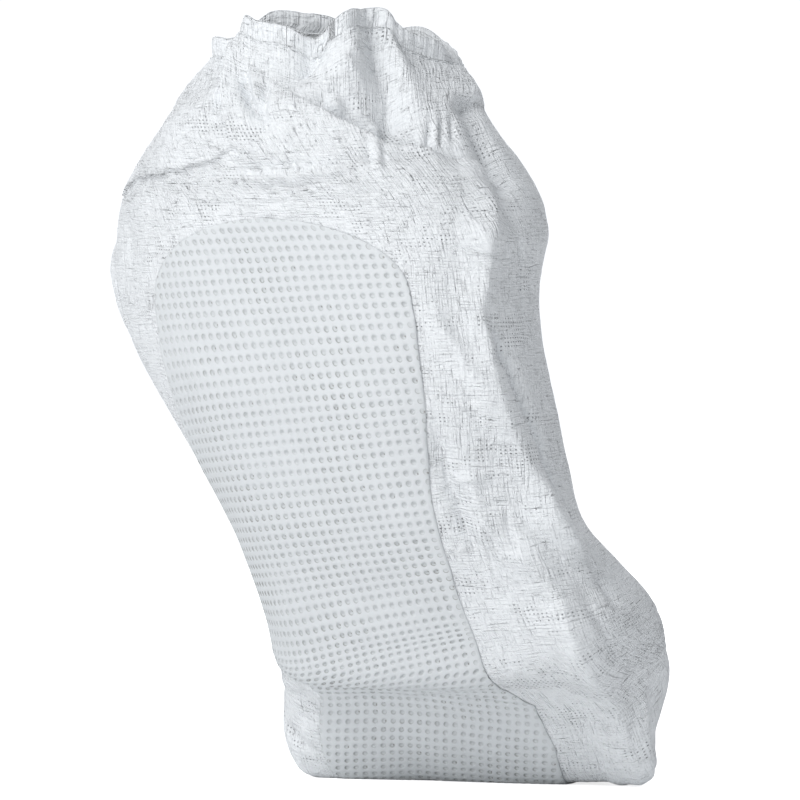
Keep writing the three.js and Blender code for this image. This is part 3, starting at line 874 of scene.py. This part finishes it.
def mathNode(tree, operation, *values, clamp=False):
    node = tree.nodes.new("ShaderNodeMath")
    node.operation = operation
    node.use_clamp = clamp
    for socket, value in zip(node.inputs, values):
        feed(tree, socket, value)
    return node.outputs[0]


def contrast(tree, value, low, gain):  # how far the value is past low, times gain, between 0 and 1
    return mathNode(tree, "MULTIPLY", mathNode(tree, "SUBTRACT", value, low), gain, clamp=True)


def vectorNode(tree, operation, *values):
    node = tree.nodes.new("ShaderNodeVectorMath")
    node.operation = operation
    for socket, value in zip(node.inputs, values):
        feed(tree, socket, value)
    return node.outputs["Value" if operation in ("LENGTH", "DOT_PRODUCT") else "Vector"]


def noiseNode(tree, vector, scale, detail, roughness=0.5, distortion=0.0, output="Fac"):
    node = tree.nodes.new("ShaderNodeTexNoise")
    for name, value in (("Vector", vector), ("Scale", scale), ("Detail", detail), ("Roughness", roughness),
                        ("Distortion", distortion)):
        feed(tree, node.inputs[name], value)
    return node.outputs[output]


def linenGroup():
    # Embossed nonwoven on the cloth's own map: crinkled threads down and round the bag, a fine grid of pin
    # dots everywhere and stronger dots in long irregular patches.
    group, given, result = nodeGroup(
        "linenEmboss", {"Vector": None, "Dot Pitch": 1.75, "Dots": 1.0}, ("Height", "Dots", "Threads"))
    place = given["Vector"]
    wander = noiseNode(group, place, scale=9, detail=1, output="Color")
    bent = vectorNode(group, "MULTIPLY_ADD", wander, (0.013, 0.013, 0), place)
    pitches = mathNode(group, "DIVIDE", 1 / mapScale, given["Dot Pitch"])
    counted = group.nodes.new("ShaderNodeSeparateXYZ")
    feed(group, counted.inputs[0], vectorNode(group, "SCALE", bent, None, None, pitches))
    dots = given["Dots"]
    for axis, closer in (("X", 1.0), ("Y", 1.12)):
        wave = mathNode(group, "MULTIPLY", counted.outputs[axis], 2 * math.pi * closer)
        wave = mathNode(group, "SINE", wave)
        dots = mathNode(group, "MULTIPLY", dots, contrast(group, wave, low=-0.42, gain=-3.2))
    long = vectorNode(group, "MULTIPLY", bent, (1, 2.4, 1))
    broad = noiseNode(group, long, scale=3.1, detail=2, distortion=0.8)
    small = noiseNode(group, place, scale=26, detail=2, roughness=0.6)
    patch = contrast(group, mathNode(group, "MULTIPLY_ADD", small, 0.6, broad), low=0.87, gain=7)
    faint = contrast(group, small, low=0.36, gain=2.4)
    dots = mathNode(group, "MULTIPLY", dots, mathNode(group, "MULTIPLY_ADD", faint, 0.28, patch, clamp=True))
    threads = 0.0
    for stretch, patchScale in (((1, 0.08, 1), 2.2), ((0.08, 1, 1), 3.4)):
        streak = noiseNode(group, vectorNode(group, "MULTIPLY", bent, stretch), scale=128, detail=1)
        streak = contrast(group, streak, low=0.38, gain=3.2)
        where = noiseNode(group, place, scale=patchScale, detail=3, roughness=0.6)
        where = mathNode(group, "MULTIPLY_ADD", contrast(group, where, low=0.4, gain=5), 0.5, 0.5)
        threads = mathNode(group, "MULTIPLY_ADD", streak, where, threads)
    grain = noiseNode(group, place, scale=170, detail=2, roughness=0.6)
    height = mathNode(group, "MULTIPLY_ADD", grain, 0.16, threads)
    feed(group, result["Height"], mathNode(group, "MULTIPLY_ADD", dots, -1.4, height))
    feed(group, result["Dots"], dots)
    feed(group, result["Threads"], threads)
    return group


def crumpleGroup():
    # Sharp creases of stiff nonwoven cloth on the cloth's own map: thin broken lines that run mostly down or
    # round the bag, in three sizes, over soft facets. Those round the bag also give painted shade: they
    # darken the colour.
    group, given, result = nodeGroup("sharpCrumple", {"Vector": None, "Size": 10.0}, ("Height", "Crease"))
    place = given["Vector"]
    warp = noiseNode(group, place, scale=6, detail=1.5, output="Color")
    bent = vectorNode(group, "MULTIPLY_ADD", warp, (0.035, 0.035, 0), place)
    height, crease = 0.0, 0.0
    for stretch, start, lift, paintsShade in (((1, 0.2, 1), 0.44, 1, False), ((0.22, 1, 1), 0.56, 0.8, True)):
        stretched = vectorNode(group, "MULTIPLY", bent, stretch)
        for factor, weight, narrow in ((0.8, 0.5, 24), (2.2, 0.34, 16), (5.0, 0.2, 12)):
            scale = mathNode(group, "MULTIPLY", given["Size"], factor + start)
            hills = noiseNode(group, stretched, scale, detail=1)
            away = mathNode(group, "ABSOLUTE", mathNode(group, "SUBTRACT", hills, 0.5))
            line = mathNode(group, "SUBTRACT", 1.0, mathNode(group, "MULTIPLY", away, narrow, clamp=True))
            patch = noiseNode(group, place, scale=factor * 9 + start * 3, detail=2, roughness=0.6)
            line = mathNode(group, "MULTIPLY", line, contrast(group, patch, low=0.47, gain=9))
            height = mathNode(group, "MULTIPLY_ADD", away, -0.6 * weight, height)
            height = mathNode(group, "MULTIPLY_ADD", line, lift * weight, height)
            if paintsShade:
                crease = mathNode(group, "MAXIMUM", crease, line)
    feed(group, result["Height"], height)
    feed(group, result["Crease"], crease)
    return group


linen = linenGroup()
crumple = crumpleGroup()


def newMaterial(name, specular):
    material = bpy.data.materials.new(name)
    material.use_nodes = True
    tree = material.node_tree
    shader = tree.nodes["Principled BSDF"].inputs
    shader["Specular IOR Level"].default_value = specular
    return material, tree, shader


def groupNode(tree, group, **values):
    node = tree.nodes.new("ShaderNodeGroup")
    node.node_tree = group
    for name, value in values.items():
        feed(tree, node.inputs[name.replace("_", " ")], value)
    return node.outputs


def bumpNode(tree, height, distance, strength=1.0, normal=None):
    node = tree.nodes.new("ShaderNodeBump")
    for name, value in (("Strength", strength), ("Distance", distance), ("Height", height)):
        feed(tree, node.inputs[name], value)
    if normal is not None:
        tree.links.new(normal, node.inputs["Normal"])
    return node.outputs["Normal"]


def mixColour(tree, factor, first, second, share=1.0):
    node = tree.nodes.new("ShaderNodeMix")
    node.data_type = "RGBA"
    feed(tree, node.inputs["Factor"], factor if share == 1.0 else mathNode(tree, "MULTIPLY", factor, share))
    for socket, value in ((node.inputs["A"], first), (node.inputs["B"], second)):
        feed(tree, socket, (*value, 1) if isinstance(value, tuple) else value)
    return node.outputs["Result"]


def ownMap(tree):
    node = tree.nodes.new("ShaderNodeUVMap")
    node.uv_map = "clothMap"
    return node.outputs["UV"]


def objectPlace(tree):
    return tree.nodes.new("ShaderNodeTexCoord").outputs["Object"]


clothLook = {
    "white": (0.89, 0.912, 0.93),
    "shade": (0.855, 0.878, 0.898),
    "threadTone": 0.12,  # how much whiter the threads are
    # painted shade along the crease lines, and how much of it
    "crease": (0.5, 0.52, 0.53),
    "creaseShadeShare": 0.09,
    # painted shade in the pin-dot pits, and how much of it
    "dot": (0.22, 0.23, 0.24),
    "dotShare": 0.85,
    "dotPitch": 1.75,  # mm
    "linenDepth": 0.00037,
    "crumpleDepth": 0.00062,
    "plainFrom": 0.09722,  # the relief grows towards the viewer from here, and this much is left behind
    "plainGain": -18.0,
    "plainShare": 0.38,
    "roughness": 0.6,
    "roughnessVaries": 0.12,
    "specular": 0.3,
    "sheen": 0.05,
}


def clothMaterial(name, dots, creaseSize):
    look = clothLook
    material, tree, shader = newMaterial(name, look["specular"])
    linenOut = groupNode(tree, linen, Vector=ownMap(tree), Dot_Pitch=look["dotPitch"], Dots=dots)
    crumpleOut = groupNode(tree, crumple, Vector=ownMap(tree), Size=creaseSize)
    place = objectPlace(tree)
    apart = tree.nodes.new("ShaderNodeSeparateXYZ")
    feed(tree, apart.inputs[0], place)
    full = contrast(tree, apart.outputs["Y"], low=look["plainFrom"], gain=look["plainGain"])
    full = mathNode(tree, "MULTIPLY_ADD", full, 1 - look["plainShare"], look["plainShare"])
    crumpled = mathNode(tree, "MULTIPLY", crumpleOut["Height"], full)
    threaded = mathNode(tree, "MULTIPLY", linenOut["Height"], full)
    normal = bumpNode(tree, crumpled, look["crumpleDepth"])
    feed(tree, shader["Normal"], bumpNode(tree, threaded, look["linenDepth"], normal=normal))
    cloud = noiseNode(tree, place, scale=22, detail=4, roughness=0.6)
    tone = mathNode(tree, "SUBTRACT", linenOut["Threads"], 0.5)
    tone = mathNode(tree, "MULTIPLY_ADD", tone, look["threadTone"], cloud, clamp=True)
    colour = mixColour(tree, tone, look["shade"], look["white"])
    # painted shade: the crease lines darken the cloth's colour
    colour = mixColour(tree, crumpleOut["Crease"], colour, look["crease"], look["creaseShadeShare"])
    # painted shade: the pin-dot pits of the emboss are darkened in the colour
    colour = mixColour(tree, linenOut["Dots"], colour, look["dot"], look["dotShare"])
    feed(tree, shader["Base Color"], colour)
    rough = mathNode(tree, "MULTIPLY_ADD", cloud, look["roughnessVaries"], look["roughness"])
    feed(tree, shader["Roughness"], rough)
    shader["Sheen Weight"].default_value = look["sheen"]
    return material


gripLook = {
    "white": (0.725, 0.75, 0.765),
    "shade": (0.665, 0.69, 0.705),
    # painted shade on the pit floors, and how much of it
    "pitShade": (0.56, 0.58, 0.59),
    "pitShadeShare": 0.5,
    "pitRadius": 0.26,  # radii are shares of the distance between dimples
    # painted shade: the dark arc on the shaded wall of each pit
    "ring": (0.22, 0.22, 0.205),
    "shadeArcRadius": 0.255,
    "pitShadowSpot": (0.24, 0.23, 0.215),  # painted shadow in some of the pits
    "pitShadowShare": 0.8,
    "pitShadowRadius": 0.13,
    "pitShadowStray": 0.15,
    "reliefDepth": 0.0003,
    "relief": 0.8,
    "roughness": 0.5,
    "roughnessVaries": 0.15,
    "specular": 0.35,
}


def gripMaterial():
    look = gripLook
    material, tree, shader = newMaterial("embossedGripSheet", look["specular"])
    half = (0.5, 0.5, 0)
    counted = vectorNode(tree, "MULTIPLY_ADD", ownMap(tree), (1 / dimpleMap, 1 / dimpleMap, 0), half)
    cell = vectorNode(tree, "FLOOR", counted)
    centred = vectorNode(tree, "SUBTRACT", vectorNode(tree, "FRACTION", counted), half)
    radius = vectorNode(tree, "LENGTH", centred)
    arcAway = mathNode(tree, "ABSOLUTE", mathNode(tree, "SUBTRACT", radius, look["shadeArcRadius"]))
    ring = mathNode(tree, "SUBTRACT", 1.0, mathNode(tree, "MULTIPLY", arcAway, 13, clamp=True))
    pitFloor = contrast(tree, radius, low=look["pitRadius"], gain=-9)
    # Painted shadow: a dark spot near the middle of some of the pits.
    random = tree.nodes.new("ShaderNodeTexWhiteNoise")
    random.noise_dimensions = "2D"
    feed(tree, random.inputs["Vector"], cell)
    regions = noiseNode(tree, cell, scale=0.13, detail=2)
    stray = look["pitShadowStray"]
    shifted = vectorNode(tree, "MULTIPLY_ADD", random.outputs["Color"], (-2 * stray, -2 * stray, 0), centred)
    shifted = vectorNode(tree, "LENGTH", vectorNode(tree, "ADD", shifted, (stray, stray, 0)))
    chosen = contrast(tree, regions, low=0.42, gain=1.4)
    chosen = mathNode(tree, "LESS_THAN", random.outputs["Value"], chosen)
    pitShadowSpot = mathNode(tree, "MULTIPLY", contrast(tree, shifted, low=look["pitShadowRadius"], gain=-14), chosen)
    # Painted shade: a thin dark arc round each pit, on the left or the lower side by turns, where its wall
    # falls in shade.
    shadeSide = noiseNode(tree, cell, scale=0.11, detail=2, output="Color")
    shadeSide = vectorNode(tree, "MULTIPLY_ADD", shadeSide, (5, 7, 0), (-1.6, -2.8, 0))
    shadeSide = vectorNode(tree, "DOT_PRODUCT", centred, shadeSide)
    shadeSide = mathNode(tree, "MULTIPLY_ADD", shadeSide, 1.5, 0.4, clamp=True)
    shadeSide = mathNode(tree, "MULTIPLY", shadeSide, mathNode(tree, "MULTIPLY_ADD", regions, 1.6, -0.2, clamp=True))
    ring = mathNode(tree, "MULTIPLY", ring, shadeSide)
    place = objectPlace(tree)
    grain = noiseNode(tree, place, scale=900, detail=3, roughness=0.6)
    height = mathNode(tree, "MULTIPLY_ADD", grain, 0.35, mathNode(tree, "MULTIPLY", pitFloor, -0.6))
    feed(tree, shader["Normal"], bumpNode(tree, height, look["reliefDepth"], look["relief"]))
    cloud = noiseNode(tree, place, scale=26, detail=4, roughness=0.6)
    colour = mixColour(tree, cloud, look["shade"], look["white"])
    # painted shade: the pit floors are darkened in the colour
    colour = mixColour(tree, pitFloor, colour, look["pitShade"], look["pitShadeShare"])
    # painted shade arcs round the pits
    colour = mixColour(tree, ring, colour, look["ring"])
    # painted shadow spots in some of the pits
    colour = mixColour(tree, pitShadowSpot, colour, look["pitShadowSpot"], look["pitShadowShare"])
    feed(tree, shader["Base Color"], colour)
    rough = mathNode(tree, "MULTIPLY_ADD", cloud, look["roughnessVaries"], look["roughness"])
    feed(tree, shader["Roughness"], rough)
    return material


threadLook = {
    "dark": (0.62, 0.64, 0.66),
    "light": (0.85, 0.87, 0.88),
    "twist": 1400.0,
    "reliefDepth": 0.0001,
    "relief": 0.7,
    "roughness": 0.55,
    "specular": 0.5,
}


def threadMaterial():
    look = threadLook
    material, tree, shader = newMaterial("sewingThread", look["specular"])
    twist = noiseNode(tree, objectPlace(tree), scale=look["twist"], detail=2, roughness=0.6)
    feed(tree, shader["Base Color"], mixColour(tree, twist, look["dark"], look["light"]))
    feed(tree, shader["Normal"], bumpNode(tree, twist, look["reliefDepth"], look["relief"]))
    shader["Roughness"].default_value = look["roughness"]
    return material


clothWhite = clothMaterial("nonwovenCloth", dots=1.0, creaseSize=11.0)
hemWhite = clothMaterial("gatheredHemCloth", dots=0.0, creaseSize=16.0)
upper.data.materials.append(clothWhite)
gripSheet.data.materials.append(gripMaterial())
hem.data.materials.append(hemWhite)
stitches.data.materials.append(threadMaterial())
print("materials made")

for piece in (upper, gripSheet, hem, stitches):
    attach(piece, "root")
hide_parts("upper")
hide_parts("sole_panel")
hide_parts("hem_casing")


# Floor, lights and camera. Azimuths are degrees towards the right of the front, elevations degrees up.
studio = {
    "floorWidth": 12.0,
    "paper": (0.95, 0.955, 0.96),
    "paperSeen": (0.92, 0.92, 0.92),
    "paperGlow": 0.75,
    "air": (0.95, 0.97, 1, 1),
    "airLight": 0.48,
    "airSeen": 1.1,
}
lightRows = (  # name, azimuth, elevation, distance, size, power
    ("keyLight", -12, 44, 2.1, 0.9, 18.6),
    ("fillLight", -6, 0, 2.6, 1.4, 22.5),
    ("backLight", 209, 18, 2.6, 1.4, 24),
)
viewpoint = {
    "azimuth": 29.0,
    "elevation": 1.0,
    "distance": 4.0,
    "height": 151.0,  # mm above the floor
    "widthSeen": 0.3104,
    "sensor": 36.0,
}


def buildFloor():
    level, half = cadBox[0].z, studio["floorWidth"] / 2
    corners = [(x * half, y * half, level) for x, y in ((-1, -1), (1, -1), (1, 1), (-1, 1))]
    floor = meshFrom("studio_floor", corners, [(0, 1, 2, 3)])
    material, tree, shader = newMaterial("studioPaper", specular=0.0)
    shader["Roughness"].default_value = 0.9
    shader["Emission Color"].default_value = (1, 1, 1, 1)
    seen = tree.nodes.new("ShaderNodeLightPath").outputs["Is Camera Ray"]
    feed(tree, shader["Base Color"], mixColour(tree, seen, studio["paper"], studio["paperSeen"]))
    feed(tree, shader["Emission Strength"], mathNode(tree, "MULTIPLY", seen, studio["paperGlow"]))
    floor.data.materials.append(material)
    return floor


stage = buildFloor()


def aimed(name, data, azimuth, elevation, distance):  # an object that looks at the middle of the shoe cover
    a, e = math.radians(azimuth), math.radians(elevation)
    away = Vector((math.sin(a) * math.cos(e), -math.cos(a) * math.cos(e), math.sin(e)))
    thing = bpy.data.objects.new(name, data)
    thing.location = Vector(toFrame((0, 0, viewpoint["height"]))) + away * distance
    thing.rotation_euler = (-away).to_track_quat("-Z", "Y").to_euler()
    bpy.context.scene.collection.objects.link(thing)
    return thing


for name, azimuth, elevation, distance, size, power in lightRows:
    light = bpy.data.lights.new(name, "AREA")
    light.shape = "SQUARE"
    light.size = size
    light.energy = power
    aimed(name, light, azimuth, elevation, distance)

world = bpy.data.worlds.new("studioAir")
world.use_nodes = True
air = world.node_tree
background = air.nodes["Background"].inputs
background["Color"].default_value = studio["air"]
airSeen = air.nodes.new("ShaderNodeLightPath").outputs["Is Camera Ray"]
brighter = studio["airSeen"] - studio["airLight"]
feed(air, background["Strength"], mathNode(air, "MULTIPLY_ADD", airSeen, brighter, studio["airLight"]))
bpy.context.scene.world = world
bpy.context.scene.view_settings.view_transform = "Standard"

cameraData = bpy.data.cameras.new("camera")
cameraData.sensor_width = viewpoint["sensor"]
cameraData.lens = viewpoint["sensor"] * viewpoint["distance"] / viewpoint["widthSeen"]
cameraData.clip_start, cameraData.clip_end = 0.1, 20
bpy.context.scene.camera = aimed(
    "camera", cameraData, viewpoint["azimuth"], viewpoint["elevation"], viewpoint["distance"])
print("studio made")
